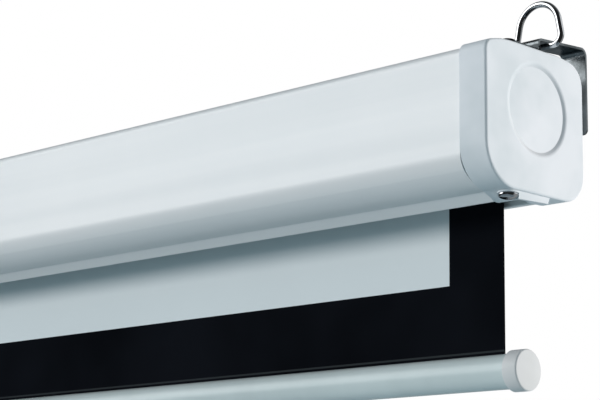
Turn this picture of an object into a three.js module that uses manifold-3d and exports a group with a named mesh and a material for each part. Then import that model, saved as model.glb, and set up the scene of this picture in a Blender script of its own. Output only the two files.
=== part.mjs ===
import * as THREE from 'three';
import { mergeVertices } from 'three/addons/utils/BufferGeometryUtils.js';
import Module from 'manifold-3d';

const wasm = await Module();
wasm.setup();

// Pull down projector screen, millimetres. X runs along the case, Y towards the wall, Z up.
// The origin is on the wall plane, midway between the holes of the two wall flanges.

// Picture and borders of the screen fabric
const viewWidth = 1594;
const viewHeight = 897;
const sideBorder = 36.4;
const lowerBorder = 38;
const upperBorder = 39.7;
const fabricThickness = 0.43;
const fabricPulled = 71.1;
const safetyWraps = 1;

// End cap, seen from its own end: u from its front to its back, v down from its top
const capHeight = 75;
const capDepth = 79.5;
const capWidth = 17.4;
const capWall = 2;
const capFrontTopRadius = 6;
const capBackTopRadius = 12.5;
const capFrontLowRadius = 21.7;
const capBackLowRadius = 15.8;
const capFaceFillet = 1.4;
const capRimChamfer = 0.6;
const crownFrontWidth = 12.5;
const crownFrontDrop = 3.8;
const crownBackWidth = 19.5;
const crownBackDrop = 2.7;
const crownRadius = 48;
const discRadius = 21.8;
const discRimWidth = 3.2;
const discSink = 0.8;
const discCentreDepth = 41;
const discCentreDrop = 31.75;
const discRimShares = [0, 0.33, 0.67, 1];
const plugLength = 12;
const plugWall = 1.8;
const bossRadius = 4.6;

// Case extrusion, set in from the outline of the caps
const caseWall = 1.5;
const caseInset = 1.25;
const caseFrontTopRadius = 5;
const caseBackLowRadius = 14.5;
const fabricToCapFace = 35.6;
const frontCurveTurn = THREE.MathUtils.degToRad(38);
const frontCurveRadius = 14;
const upperCreaseDepth = 4.4;
const upperCreaseRise = 8.7;
const creaseCurveShares = [0.414, 0.889];
const creaseCurveRadius = 27;
const lowerCreaseDepth = 21.5;
const lowerCreaseRise = 0.75;
const lipDepth = 28.6;
const lipBelowCap = 4.1;
const lipReturn = 8;
const slotBackDepth = 62;
const backReturn = 6;
const smallRadius = 0.8;
const ribHeight = 4.5;
const ribWall = 1.4;

// Skirt below the end cap that carries the lip round the corner
const skirtFrontDepth = 18;
const skirtTopInset = 1.6;
const skirtFaceInset = 3.2;
const skirtLipBelowCap = 3.6;
const skirtBackDepth = 52.3;
const skirtBackBelowCap = 2.8;
const skirtWall = 2;
const skirtLipWall = 2.3;

// Roller and its tube
const rollerDepth = 38.3;
const rollerDrop = 32.5;
const tubeRadius = 15.5;
const tubeWall = 1.2;
const tubeToCapFace = 24;
const collarLength = 6.6;
const idleCollarLength = 4;
const insertLength = 26;
const spindleRadius = 4;
const spindleTail = 18;
const tangThickness = 3;
const tangLength = 5.4;

// Spring and its hub
const springCurls = 26;
const springPitch = 4.4;
const springWireRadius = 1;
const springRadius = 9.4;
const hubLength = 16;

// Ratchet in the outer face of the drive plug
const recessRadius = 13.4;
const recessDepth = 4.2;
const ratchetTeeth = 10;
const toothRootShare = 0.72;
const toothShares = [0, 0.25, 0.5, toothRootShare, 0.98];
const ratchetTipRadius = 7;
const ratchetRootRadius = 5.5;
const ratchetThickness = 2.8;
const pawlPivotRadius = 10.6;
const pawlHubRadius = 2.1;
const pawlRootShare = 0.92;
const pawlPinRadius = 1.1;
const pawlArm = 6.6;
const pawlTipWidth = 1.1;
const pawlLiftedAngle = THREE.MathUtils.degToRad(38);
const pawlSwing = THREE.MathUtils.degToRad(18);

// Pressed steel bracket that carries each end of the roller
const bracketSheet = 1.8;
const bracketToCapFace = 12.3;
const bracketWidth = 25;
const bracketFlange = 9.4;
const bushRadius = 6.4;
const bushFlangeRadius = 8.4;
const bushFlangeThickness = 1.2;

// Hanger: strap on the cap, riser, upper leg and wall flange
const strapWidth = 15;
const strapThickness = 1.3;
const strapToCapFace = 2.3;
const strapFrontDepth = 23.5;
const riserDepth = 46.6;
const riserLean = 1.2;
const legDrop = 6.4;
const legRise = 3;
const wallGap = 7.15;
const flangeDrop = 36;
const wallHoleRadius = 4;
const wallHoleDrop = 25;
const strapScrewDepth = 29.5;
const cornerRadius = 2.5;
const strapBend = 2.2;
const flangeBend = 3.6;

// Wire ring round the upper leg of each hanger
const ringWireRadius = 1.65;
const ringHalfWidth = 13.8;
const ringCornerRadius = 5;
const ringTopRadius = 12.6;
const ringHeight = 21.7;
const ringButt = 0.4;
const ringDepth = 51.8;
const ringToCapFace = 6.7;

// Screws
const screwHeadRadius = 5.1;
const screwHeadHeight = 3.1;
const screwRimHeight = 0.78;
const screwDomeShares = [0, 0.25, 0.5, 0.75, 1];
const screwShankRadius = 2.1;
const skirtScrewInset = 6.3;
const skirtScrewDepth = 24.3;
const skirtSeatBelowCap = 1.2;
const skirtScrewLength = 10;
const skirtPadHeight = 2.4;
const skirtBossHeight = 6.6;
const footHalf = 3.9;

// Weight bar, its caps and the hem rod
const barRadius = 9;
const barWall = 1.2;
const barSlot = 2.6;
const barCapRadius = 10.65;
const barCapLength = 9.1;
const barCapFloor = 1.6;
const barCapFillet = 1;
const barCapToCapFace = 20.8;
const barCapSpigot = 8;
const hemRodRadius = 2.3;

// Pull handle and its clip in the middle of the bar
const clipWidth = 26;
const clipThickness = 1.2;
const clipOpeningAngle = THREE.MathUtils.degToRad(116);
const barrelRadius = 3.6;
const handleWireRadius = 2;
const handleHalfWidth = 30;
const handleCornerRadius = 9;
const handleBottomRadius = 26;
const handleHeight = 44;
const handleButt = 0.6;

// Clearances and facets
const seatGap = 0.3;
const runningGap = 0.1;
const clipGap = 0.15;
const overrun = 1;
const arcStep = THREE.MathUtils.degToRad(10);
const wireArcStep = arcStep * 2.2;
const roundSegments = 32;
const wireSides = 8;
const springSides = 5;
const springSteps = 8;
const filletSteps = 4;
const fullEdgeShare = 0.98;

// Sizes that follow
const capFaceX = viewWidth / 2 + sideBorder + fabricToCapFace;
const fabricHalf = viewWidth / 2 + sideBorder;
const caseHalf = capFaceX - capWidth - seatGap;
const slotDrop = capHeight - caseInset;
const upperCreaseDrop = capHeight - upperCreaseRise;
const lowerCreaseDrop = capHeight - lowerCreaseRise;
const lipDrop = capHeight + lipBelowCap;
const skirtLipDrop = capHeight + skirtLipBelowCap;
const skirtBackDrop = capHeight + skirtBackBelowCap;
const skirtScrewSeat = capHeight + skirtSeatBelowCap;
const barDrop = lipDrop + fabricPulled + barRadius;
const screenTravel = upperBorder + viewHeight + lowerBorder - fabricPulled;
const woundLength = screenTravel + safetyWraps * 2 * Math.PI * tubeRadius;
const rollRadius = Math.sqrt(tubeRadius ** 2 + (woundLength * fabricThickness) / Math.PI);
const fabricDepth = rollerDepth + rollRadius + seatGap + fabricThickness / 2;
const tubeBore = tubeRadius - tubeWall;
const tubeHalf = capFaceX - tubeToCapFace;
const driveFaceX = tubeHalf + collarLength;
const recessFloorX = driveFaceX - recessDepth;
const insertEndX = tubeHalf - insertLength;
const webX = capFaceX - bracketToCapFace;
const flangeTopV = -(caseInset + caseWall + seatGap + plugWall + seatGap);
const legTopV = legDrop + strapThickness / 2;
const flangeDepth = capDepth + wallGap - strapThickness / 2;
const clipRadius = barRadius + clipGap + clipThickness;
const handleAxisV = -(barDrop + clipRadius + barrelRadius - clipThickness / 2);

const X = new THREE.Vector3(1, 0, 0);
const Y = new THREE.Vector3(0, 1, 0);
const Z = new THREE.Vector3(0, 0, 1);
const towardsViewer = Y.clone().negate();

// Boolean joins and cuts
function toSolid(geometry) {
  const bare = geometry.clone();
  bare.deleteAttribute('normal');
  bare.deleteAttribute('uv');
  const merged = mergeVertices(bare, 1e-4);
  const vertProperties = new Float32Array(merged.attributes.position.array);
  const triVerts = new Uint32Array(merged.index.array);
  return new wasm.Manifold(new wasm.Mesh({ numProp: 3, vertProperties, triVerts }));
}

function toGeometry(solid) {
  const mesh = solid.getMesh();
  const geometry = new THREE.BufferGeometry();
  geometry.setAttribute('position', new THREE.BufferAttribute(mesh.vertProperties, 3));
  geometry.setIndex(new THREE.BufferAttribute(mesh.triVerts, 1));
  return geometry;
}

function join(...pieces) {
  return pieces.slice(1).reduce((sum, piece) => sum.add(piece), pieces[0]);
}

function cut(body, ...tools) {
  return tools.reduce((rest, tool) => rest.subtract(tool), body);
}

// Outlines: corners are [u, v, fillet radius]; a fillet shrinks where an edge is too short for it
function rounded(corners, closed = true) {
  const count = corners.length;
  const spots = corners.map(([u, v]) => new THREE.Vector2(u, v));
  const bends = corners.map(([, , radius = 0], i) => {
    const isEnd = !closed && (i === 0 || i === count - 1);
    const before = spots[(i + count - 1) % count].clone().sub(spots[i]).normalize();
    const after = spots[(i + 1) % count].clone().sub(spots[i]).normalize();
    const half = Math.acos(THREE.MathUtils.clamp(before.dot(after), -1, 1)) / 2;
    const reach = isEnd || radius <= 0 ? 0 : radius / Math.tan(half);
    return { before, after, half, reach };
  });
  const room = (i, k) => {
    const wanted = bends[i].reach + bends[k].reach;
    return wanted > 0 ? Math.min(1, (spots[i].distanceTo(spots[k]) * fullEdgeShare) / wanted) : 1;
  };
  const points = [];
  bends.forEach(({ before, after, half, reach }, i) => {
    if (reach === 0) {
      points.push(spots[i]);
      return;
    }
    const kept = reach * Math.min(room(i, (i + 1) % count), room((i + count - 1) % count, i));
    const radius = kept * Math.tan(half);
    const middle = before.clone().add(after).normalize();
    const centre = spots[i].clone().addScaledVector(middle, radius / Math.sin(half));
    const start = spots[i].clone().addScaledVector(before, kept).sub(centre);
    const turn = Math.PI - 2 * half;
    const side = Math.sign(before.cross(after)) || 1;
    const steps = Math.max(2, Math.ceil(turn / arcStep));
    for (let k = 0; k <= steps; k += 1) {
      points.push(start.clone().rotateAround(new THREE.Vector2(), (-side * turn * k) / steps).add(centre));
    }
  });
  return points;
}

// Moves every edge to its right by distance; fillets grow or shrink to stay parallel
function offsetCorners(corners, distance, closed = true) {
  const count = corners.length;
  const edge = (i) => {
    const a = new THREE.Vector2(...corners[(i + count) % count]);
    const b = new THREE.Vector2(...corners[(i + 1) % count]);
    const along = b.clone().sub(a).normalize();
    const shift = new THREE.Vector2(along.y, -along.x).multiplyScalar(distance);
    return { from: a.add(shift), along, shift };
  };
  return corners.map(([u, v, radius = 0], i) => {
    const into = edge(i - 1);
    const out = edge(i);
    if (!closed && i === 0) return [u + out.shift.x, v + out.shift.y, 0];
    if (!closed && i === count - 1) return [u + into.shift.x, v + into.shift.y, 0];
    const turn = into.along.cross(out.along);
    const gap = out.from.clone().sub(into.from);
    const reach = gap.cross(out.along) / turn;
    const point = into.from.clone().addScaledVector(into.along, reach);
    const grown = radius > 0 ? Math.max(radius + distance * Math.sign(turn), 0) : 0;
    return [point.x, point.y, grown];
  });
}

// Solids from outlines
function prism(points, depth) {
  const settings = { depth, bevelEnabled: false };
  return new THREE.ExtrudeGeometry(new THREE.Shape(points), settings);
}

function prismX(points, low, high) {
  const turned = new THREE.Matrix4().makeBasis(Y, Z, X).setPosition(low, 0, 0);
  return toSolid(prism(points, high - low).applyMatrix4(turned));
}

function prismY(points, low, high) {
  const turned = new THREE.Matrix4().makeBasis(X, Z, towardsViewer).setPosition(0, high, 0);
  return toSolid(prism(points, high - low).applyMatrix4(turned));
}

function prismZ(points, low, high) {
  const turned = new THREE.Matrix4().setPosition(0, 0, low);
  return toSolid(prism(points, high - low).applyMatrix4(turned));
}

function block([x0, x1], [y0, y1], [z0, z1]) {
  const box = new THREE.BoxGeometry(x1 - x0, y1 - y0, z1 - z0);
  return toSolid(box.translate((x0 + x1) / 2, (y0 + y1) / 2, (z0 + z1) / 2));
}

function rectangle(a0, a1, b0, b1, radius = 0) {
  return rounded([[a0, b0, radius], [a1, b0, radius], [a1, b1, radius], [a0, b1, radius]]);
}

// A turned solid on an axis along X through (u, v); the profile is [radius, x]
function turnedX(profile, u, v, segments = roundSegments) {
  const points = profile.map(([radius, x]) => new THREE.Vector2(radius, x));
  const turned = new THREE.LatheGeometry(points, segments);
  turned.applyMatrix4(new THREE.Matrix4().makeBasis(Y, X, Z.clone().negate()));
  return toSolid(turned.translate(0, u, v));
}

function cylinderX(radius, x0, x1, u, v, segments = roundSegments) {
  return turnedX([[0, x0], [radius, x0], [radius, x1], [0, x1]], u, v, segments);
}

function sleeveX(outer, inner, x0, x1, u, v, segments = roundSegments) {
  const profile = [[inner, x0], [outer, x0], [outer, x1], [inner, x1], [inner, x0]];
  return turnedX(profile, u, v, segments);
}

// Rings of equal count joined into one closed solid; each ring is { x, points }
function loft(rings) {
  const count = rings[0].points.length;
  const positions = rings.flatMap(({ x, points }) => points.flatMap((p) => [x, p.x, p.y]));
  const index = [];
  for (let r = 0; r + 1 < rings.length; r += 1) {
    for (let i = 0; i < count; i += 1) {
      const a = r * count + i;
      const b = r * count + ((i + 1) % count);
      index.push(a, a + count, b, b, a + count, b + count);
    }
  }
  const face = THREE.ShapeUtils.triangulateShape(rings[0].points, []);
  const last = (rings.length - 1) * count;
  const clockwise = THREE.ShapeUtils.isClockWise(rings[0].points);
  face.forEach(([a, b, c]) => {
    const [second, third] = clockwise ? [c, b] : [b, c];
    index.push(a, second, third);
    index.push(last + a, last + third, last + second);
  });
  const geometry = new THREE.BufferGeometry();
  geometry.setAttribute('position', new THREE.Float32BufferAttribute(positions, 3));
  geometry.setIndex(index);
  return facingOut(geometry);
}

// Turns every triangle round when the closed mesh encloses a negative volume
function facingOut(geometry) {
  const place = geometry.attributes.position;
  const index = geometry.index;
  const corner = (k) => new THREE.Vector3().fromBufferAttribute(place, index.getX(k));
  let volume = 0;
  for (let k = 0; k < index.count; k += 3) {
    volume += corner(k).dot(corner(k + 1).cross(corner(k + 2)));
  }
  return volume < 0 ? flipped(geometry) : geometry;
}

function flipped(geometry) {
  const index = Array.from(geometry.index.array);
  for (let k = 0; k < index.length; k += 3) {
    [index[k + 1], index[k + 2]] = [index[k + 2], index[k + 1]];
  }
  geometry.setIndex(index);
  return geometry;
}

// The twin of a right-hand piece for the left end
function mirrored(geometry) {
  const twin = geometry.clone().applyMatrix4(new THREE.Matrix4().makeScale(-1, 1, 1));
  return flipped(twin);
}

// Outlines of the cap and the case
const capCorners = [
  [0, -capHeight, capFrontLowRadius],
  [0, -crownFrontDrop, capFrontTopRadius],
  [crownFrontWidth, 0, crownRadius],
  [capDepth - crownBackWidth, 0, crownRadius],
  [capDepth, -crownBackDrop, capBackTopRadius],
  [capDepth, -capHeight, capBackLowRadius],
];

const caseBack = capDepth - caseInset;
const creaseMiddleDepth = THREE.MathUtils.lerp(upperCreaseDepth, lowerCreaseDepth, creaseCurveShares[0]);
const creaseMiddleDrop = THREE.MathUtils.lerp(upperCreaseDrop, lowerCreaseDrop, creaseCurveShares[1]);
const frontCurveDrop = upperCreaseDrop - (upperCreaseDepth - caseInset) / Math.tan(frontCurveTurn);
const caseCorners = [
  [lipDepth, -lipDrop + lipReturn],
  [lipDepth, -lipDrop, smallRadius],
  [lowerCreaseDepth, -lowerCreaseDrop],
  [creaseMiddleDepth, -creaseMiddleDrop, creaseCurveRadius],
  [upperCreaseDepth, -upperCreaseDrop],
  [caseInset, -frontCurveDrop, frontCurveRadius],
  [caseInset, -crownFrontDrop - caseInset, caseFrontTopRadius],
  [crownFrontWidth, -caseInset, crownRadius],
  [capDepth - crownBackWidth, -caseInset, crownRadius],
  [caseBack, -crownBackDrop - caseInset, capBackTopRadius],
  [caseBack, -slotDrop, caseBackLowRadius],
  [slotBackDepth, -slotDrop, smallRadius],
  [slotBackDepth, -slotDrop + backReturn],
];
const caseClosedCorners = caseCorners.slice(2, -2);

function caseShell() {
  const outer = rounded(caseCorners, false);
  const inner = rounded(offsetCorners(caseCorners, caseWall, false), false);
  const strip = prismX([...outer, ...inner.reverse()], -caseHalf, caseHalf);
  const ceiling = -caseInset - caseWall;
  const ribs = [-1, 1].map((side) => {
    const middle = rollerDepth - bracketWidth / 2 + side * (bracketWidth / 2 + seatGap + ribWall / 2);
    const span = [middle - ribWall / 2, middle + ribWall / 2];
    const reach = plugLength + seatGap;
    return block([-caseHalf + reach, caseHalf - reach], span, [ceiling - ribHeight, ceiling + caseWall / 2]);
  });
  return join(strip, ...ribs);
}

function capOutline(inset) {
  return rounded(offsetCorners(capCorners, inset));
}

// Skirt: the slanted lip carried round the corner of the cap, open inside
function skirt() {
  const inner = capFaceX - capWidth;
  const side = (drop) => capFaceX - THREE.MathUtils.mapLinear(drop, lowerCreaseDrop, skirtLipDrop,
    skirtTopInset, skirtFaceInset);
  const rings = [
    { front: skirtFrontDepth, frontDrop: lowerCreaseDrop, backDrop: lowerCreaseDrop },
    { front: lipDepth, frontDrop: skirtLipDrop, backDrop: skirtBackDrop },
  ].map(({ front, frontDrop, backDrop }) => [
    [inner, front, -frontDrop],
    [side(frontDrop), front, -frontDrop],
    [side(backDrop), skirtBackDepth, -backDrop],
    [inner, skirtBackDepth, -backDrop],
  ]);
  const count = rings[0].length;
  const index = [0, 2, 1, 0, 3, 2, 4, 5, 6, 4, 6, 7];
  for (let i = 0; i < count; i += 1) {
    const next = (i + 1) % count;
    index.push(i, next, i + count, next, next + count, i + count);
  }
  const geometry = new THREE.BufferGeometry();
  geometry.setAttribute('position', new THREE.Float32BufferAttribute(rings.flat(2), 3));
  geometry.setIndex(index);
  return toSolid(facingOut(geometry));
}

// Puts a piece that stands along Y on the upright axis of the skirt screw
function onSkirtAxis(piece, x = capFaceX - skirtScrewInset) {
  return toSolid(piece.rotateX(Math.PI / 2).translate(x, skirtScrewDepth, -skirtScrewSeat));
}

function skirtAxisTurned(profile) {
  const points = profile.map(([radius, up]) => new THREE.Vector2(radius, up));
  return onSkirtAxis(new THREE.LatheGeometry(points, roundSegments / 2));
}

function skirtAxisRod(radius, low, high) {
  return skirtAxisTurned([[0, low], [radius, low], [radius, high], [0, high]]);
}

function skirtAxisSlab([x0, x1], half, low, high) {
  const slab = new THREE.BoxGeometry(x1 - x0, high - low, half * 2).translate(0, (low + high) / 2, 0);
  return onSkirtAxis(slab, (x0 + x1) / 2);
}

function strapAxisRod(radius, low, high) {
  const rod = new THREE.CylinderGeometry(radius, radius, high - low, roundSegments / 2);
  rod.rotateX(Math.PI / 2);
  const x = capFaceX - strapToCapFace - strapWidth / 2;
  return toSolid(rod.translate(x, strapScrewDepth, (low + high) / 2));
}

function endCap() {
  const inner = capFaceX - capWidth;
  const rings = [
    { x: inner, points: capOutline(capRimChamfer) },
    { x: inner + capRimChamfer, points: capOutline(0) },
  ];
  for (let k = 0; k <= filletSteps; k += 1) {
    const angle = (k / filletSteps) * (Math.PI / 2);
    const inset = capFaceFillet * (1 - Math.cos(angle));
    rings.push({ x: capFaceX - capFaceFillet * (1 - Math.sin(angle)), points: capOutline(inset) });
  }
  const shell = toSolid(loft(rings));
  const rimEdge = discRadius + discRimWidth;
  const rim = discRimShares.map((share) => [
    rimEdge - discRimWidth * share,
    capFaceX - discSink * share ** 2,
  ]);
  const discPlace = [discCentreDepth, -discCentreDrop, roundSegments * 2];
  const disc = turnedX([[0, capFaceX - discSink], ...rim.reverse(), [rimEdge, capFaceX + overrun],
    [0, capFaceX + overrun]], ...discPlace);
  const padX = capFaceX - capWall - discSink;
  const discPad = turnedX([[0, padX], [rimEdge, padX], [rimEdge, capFaceX - capWall / 2],
    [0, capFaceX - capWall / 2]], ...discPlace);
  const plugCorners = offsetCorners(caseClosedCorners, caseWall + seatGap);
  const coreCorners = offsetCorners(plugCorners, plugWall);
  const plug = prismX(rounded(plugCorners), inner - plugLength, inner + capWall);
  const ledge = prismX(capOutline(capWall / 2), inner + capRimChamfer, inner + capWall + capRimChamfer);
  const cavity = prismX(capOutline(capWall), inner + capWall, capFaceX - capWall);
  const core = prismX(rounded(coreCorners), inner - plugLength - overrun, inner + capWall + overrun);
  const mouth = block([inner - plugLength - overrun, capFaceX - skirtFaceInset - skirtWall],
    [lipDepth + skirtLipWall, skirtBackDepth + seatGap], [-lipDrop - overrun, -capHeight + capWall + plugWall]);
  const slotMouth = block([inner - plugLength - overrun, inner - seatGap],
    [lowerCreaseDepth, slotBackDepth + caseWall + seatGap], [-lipDrop - overrun, -slotDrop + backReturn + seatGap]);
  const strapBoss = strapAxisRod(bossRadius, flangeTopV + seatGap, -capWall / 2);
  const skirtBoss = skirtAxisRod(bossRadius, capWall / 2, skirtBossHeight);
  const seatRadius = screwHeadRadius + seatGap;
  const skirtPad = skirtAxisRod(seatRadius, 0, skirtPadHeight);
  const skirtSeat = skirtAxisRod(seatRadius, skirtScrewSeat - lipDrop - overrun, 0);
  const hollow = cut(join(cut(join(shell, skirt()), cavity), plug, ledge), core, mouth, slotMouth);
  const strapHole = strapAxisRod(screwShankRadius + runningGap, flangeTopV - overrun, overrun);
  const skirtHole = skirtAxisRod(screwShankRadius + runningGap, -overrun, skirtScrewLength);
  return cut(join(hollow, discPad, strapBoss, skirtBoss, skirtPad), disc, strapHole, skirtHole, skirtSeat);
}

// Web with a hole for the roller end, a flange under the case top and a level foot
function rollerBracket(webHole) {
  const across = [webX - bracketSheet, webX];
  const reach = [webX - bracketSheet, webX + bracketFlange];
  const front = rollerDepth - bracketWidth;
  const web = block(across, [front, rollerDepth + bushFlangeRadius + bracketSheet],
    [-rollerDrop - bracketWidth, flangeTopV]);
  const flange = block(reach, [front, rollerDepth], [flangeTopV - bracketSheet, flangeTopV]);
  const footLow = skirtBossHeight + seatGap;
  const foot = skirtAxisSlab(reach, footHalf, footLow, footLow + bracketSheet);
  const leg = block(across, [skirtScrewDepth - footHalf, skirtScrewDepth + footHalf],
    [footLow - skirtScrewSeat, -rollerDrop]);
  const strapHole = strapAxisRod(screwShankRadius + runningGap, flangeTopV - bracketFlange, overrun);
  const skirtHole = skirtAxisRod(screwShankRadius + runningGap, 0, skirtScrewLength + overrun);
  return cut(join(web, flange, leg, foot), webHole, strapHole, skirtHole);
}

function tangHole() {
  const across = tangThickness / 2 + runningGap;
  const tall = spindleRadius + runningGap;
  return block([webX - bracketFlange, webX + overrun],
    [rollerDepth - across, rollerDepth + across], [-rollerDrop - tall, -rollerDrop + tall]);
}

// Hanger strip: an even band along a bent centre line, trimmed round at its ends
function hangerBracket() {
  const half = strapThickness / 2;
  const centreLine = [
    [strapFrontDepth, half],
    [riserDepth, half, strapBend / 2],
    [riserDepth - riserLean, legDrop, strapBend],
    [flangeDepth, legDrop + legRise, flangeBend],
    [flangeDepth, -flangeDrop],
  ];
  const upper = rounded(offsetCorners(centreLine, -half, false), false);
  const lower = rounded(offsetCorners(centreLine, half, false), false);
  const x1 = capFaceX - strapToCapFace;
  const x0 = x1 - strapWidth;
  const band = prismX([...upper, ...lower.reverse()], x0, x1).subtract(
    strapAxisRod(screwShankRadius + runningGap, -overrun, strapThickness + overrun));
  const hole = new THREE.CylinderGeometry(wallHoleRadius, wallHoleRadius, strapThickness * 3, roundSegments);
  const wallHole = toSolid(hole.translate((x0 + x1) / 2, flangeDepth, -wallHoleDrop));
  const backward = flangeDepth + strapThickness;
  const plan = prismZ(rectangle(x0, x1, strapFrontDepth, backward + cornerRadius, cornerRadius),
    -flangeDrop - overrun, legTopV + legRise + overrun);
  const front = prismY(rectangle(x0, x1, -flangeDrop, legTopV + legRise + cornerRadius, cornerRadius),
    strapFrontDepth - overrun, backward);
  return band.intersect(plan).intersect(front).subtract(wallHole);
}

// Round wire bent into a D, open at a narrow butt in the middle of its flat side
function wireD({ halfWidth, corner, top, height, wire, butt }) {
  const arcs = [
    { u: halfWidth - corner, w: corner, r: corner },
    { u: 0, w: height - top, r: top },
    { u: -halfWidth + corner, w: corner, r: corner },
  ];
  const tangentAngle = (a, b) => {
    const along = Math.atan2(b.w - a.w, b.u - a.u);
    const span = Math.hypot(b.u - a.u, b.w - a.w);
    const angle = along - Math.PI / 2 + Math.asin((a.r - b.r) / span);
    return THREE.MathUtils.euclideanModulo(angle, 2 * Math.PI);
  };
  const turns = [-Math.PI / 2, tangentAngle(arcs[0], arcs[1]), tangentAngle(arcs[1], arcs[2]),
    Math.PI * 1.5];
  const at = ({ u, w, r }, angle) => new THREE.Vector3(u + r * Math.cos(angle), 0, w + r * Math.sin(angle));
  const path = new THREE.CurvePath();
  let last = new THREE.Vector3(butt / 2, 0, 0);
  arcs.forEach((arc, i) => {
    const from = turns[i];
    const to = turns[i + 1];
    const steps = Math.ceil((to - from) / wireArcStep);
    for (let k = 0; k <= steps; k += 1) {
      const next = at(arc, from + ((to - from) * k) / steps);
      path.add(new THREE.LineCurve3(last, next));
      last = next;
    }
  });
  path.add(new THREE.LineCurve3(last, new THREE.Vector3(-butt / 2, 0, 0)));
  const stops = path.curves.map((piece) => piece.v1).concat([path.curves.at(-1).v2]);
  return sweptWire(stops, wire);
}

// A wire of even radius through points that lie in one plane square to Y
function sweptWire(stops, wire) {
  const positions = [];
  const index = [];
  stops.forEach((stop, i) => {
    const before = stops[Math.max(i - 1, 0)];
    const after = stops[Math.min(i + 1, stops.length - 1)];
    const into = stop.clone().sub(before).normalize();
    const out = after.clone().sub(stop).normalize();
    const along = into.clone().add(out).normalize();
    const square = new THREE.Vector3().crossVectors(Y, along);
    const stretch = 1 / Math.max(along.dot(i === 0 ? out : into), Math.SQRT1_2);
    for (let k = 0; k < wireSides; k += 1) {
      const angle = ((k + 0.5) / wireSides) * 2 * Math.PI;
      const ring = stop.clone()
        .addScaledVector(square, wire * stretch * Math.cos(angle))
        .addScaledVector(Y, wire * Math.sin(angle));
      positions.push(...ring);
    }
  });
  for (let i = 0; i + 1 < stops.length; i += 1) {
    for (let k = 0; k < wireSides; k += 1) {
      const a = i * wireSides + k;
      const b = i * wireSides + ((k + 1) % wireSides);
      index.push(a, b, a + wireSides, b, b + wireSides, a + wireSides);
    }
  }
  const last = (stops.length - 1) * wireSides;
  for (let k = 1; k + 1 < wireSides; k += 1) {
    index.push(0, k + 1, k, last, last + k, last + k + 1);
  }
  const geometry = new THREE.BufferGeometry();
  geometry.setAttribute('position', new THREE.Float32BufferAttribute(positions, 3));
  geometry.setIndex(index);
  return facingOut(geometry);
}

function hangingRing() {
  const ring = wireD({ halfWidth: ringHalfWidth, corner: ringCornerRadius, top: ringTopRadius,
    height: ringHeight, wire: ringWireRadius, butt: ringButt });
  const legUnderside = legDrop - strapThickness / 2;
  const x = capFaceX - ringToCapFace;
  return ring.translate(x, ringDepth, legUnderside - seatGap - ringWireRadius);
}

// Domed head of a screw, as radius and height over its seat
function screwDome() {
  return screwDomeShares.map((share) => {
    const angle = (share * Math.PI) / 2;
    return [screwHeadRadius * Math.cos(angle),
      screwRimHeight + (screwHeadHeight - screwRimHeight) * Math.sin(angle)];
  });
}

function skirtScrew() {
  const below = screwDome().map(([radius, height]) => [radius, -height]).reverse();
  return skirtAxisTurned([...below, [screwHeadRadius, -runningGap], [screwShankRadius, -runningGap],
    [screwShankRadius, skirtScrewLength], [0, skirtScrewLength]]);
}

function strapScrew() {
  const seat = strapThickness + runningGap;
  const tip = flangeTopV - bracketSheet * 2;
  const profile = [[0, tip], [screwShankRadius, tip], [screwShankRadius, seat], [screwHeadRadius, seat],
    ...screwDome().map(([radius, height]) => [radius, seat + height])];
  const points = profile.map(([radius, up]) => new THREE.Vector2(radius, up));
  const turned = new THREE.LatheGeometry(points, roundSegments / 2).rotateX(Math.PI / 2);
  return turned.translate(capFaceX - strapToCapFace - strapWidth / 2, strapScrewDepth, 0);
}

// Roller parts on its axis
const axis = [rollerDepth, -rollerDrop];

function rollerTube() {
  return sleeveX(tubeRadius, tubeBore, -tubeHalf, tubeHalf, ...axis);
}

function woundFabric() {
  return sleeveX(rollRadius, tubeRadius + runningGap, -fabricHalf, fabricHalf, ...axis);
}

function drivePlug() {
  const bore = spindleRadius + runningGap;
  const insert = tubeBore - clipGap;
  const springSeat = springRadius + springWireRadius;
  const tail = insertEndX - capWall;
  const body = turnedX([[bore, tail], [springSeat, tail], [springSeat, insertEndX], [insert, insertEndX],
    [insert, tubeHalf + seatGap], [tubeRadius, tubeHalf + seatGap], [tubeRadius, driveFaceX],
    [recessRadius, driveFaceX], [recessRadius, recessFloorX], [bore, recessFloorX], [bore, tail]], ...axis);
  const pins = pawlPlaces.map(([u, v]) => cylinderX(pawlPinRadius + clipGap,
    recessFloorX - recessDepth, driveFaceX, u, v, wireSides * 2));
  return cut(body, ...pins);
}

// Pawl pivots sit opposite each other, above and below the axis
const pawlPlaces = [1, -1].map((side) => [axis[0], axis[1] + side * pawlPivotRadius]);

function pawlPin(place) {
  return cylinderX(pawlPinRadius, recessFloorX - recessDepth + seatGap, driveFaceX - seatGap, ...place,
    wireSides * 2);
}

// The arm leads against the direction in which the spring winds the screen up
function pawl(side) {
  const [u, v] = pawlPlaces[side > 0 ? 0 : 1];
  const reach = (angle, width) => {
    const along = new THREE.Vector2(-Math.cos(angle), -Math.sin(angle));
    const across = new THREE.Vector2(-along.y, along.x);
    const tip = along.clone().multiplyScalar(pawlArm);
    const hub = pawlHubRadius * pawlRootShare;
    return [across.clone().multiplyScalar(-hub), tip.clone().addScaledVector(across, -width),
      tip.clone().addScaledVector(across, width), across.clone().multiplyScalar(hub)];
  };
  const outline = reach(pawlLiftedAngle, pawlTipWidth / 2)
    .map((p) => new THREE.Vector2(u + side * p.x, v + side * p.y));
  const low = recessFloorX + seatGap;
  const high = low + ratchetThickness - seatGap;
  const arm = prismX(outline, low, high);
  const hub = cylinderX(pawlHubRadius, low, high, u, v, wireSides * 2);
  const hole = cylinderX(pawlPinRadius + runningGap, low - overrun, high + overrun, u, v, wireSides * 2);
  return cut(join(arm, hub), hole);
}

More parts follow.
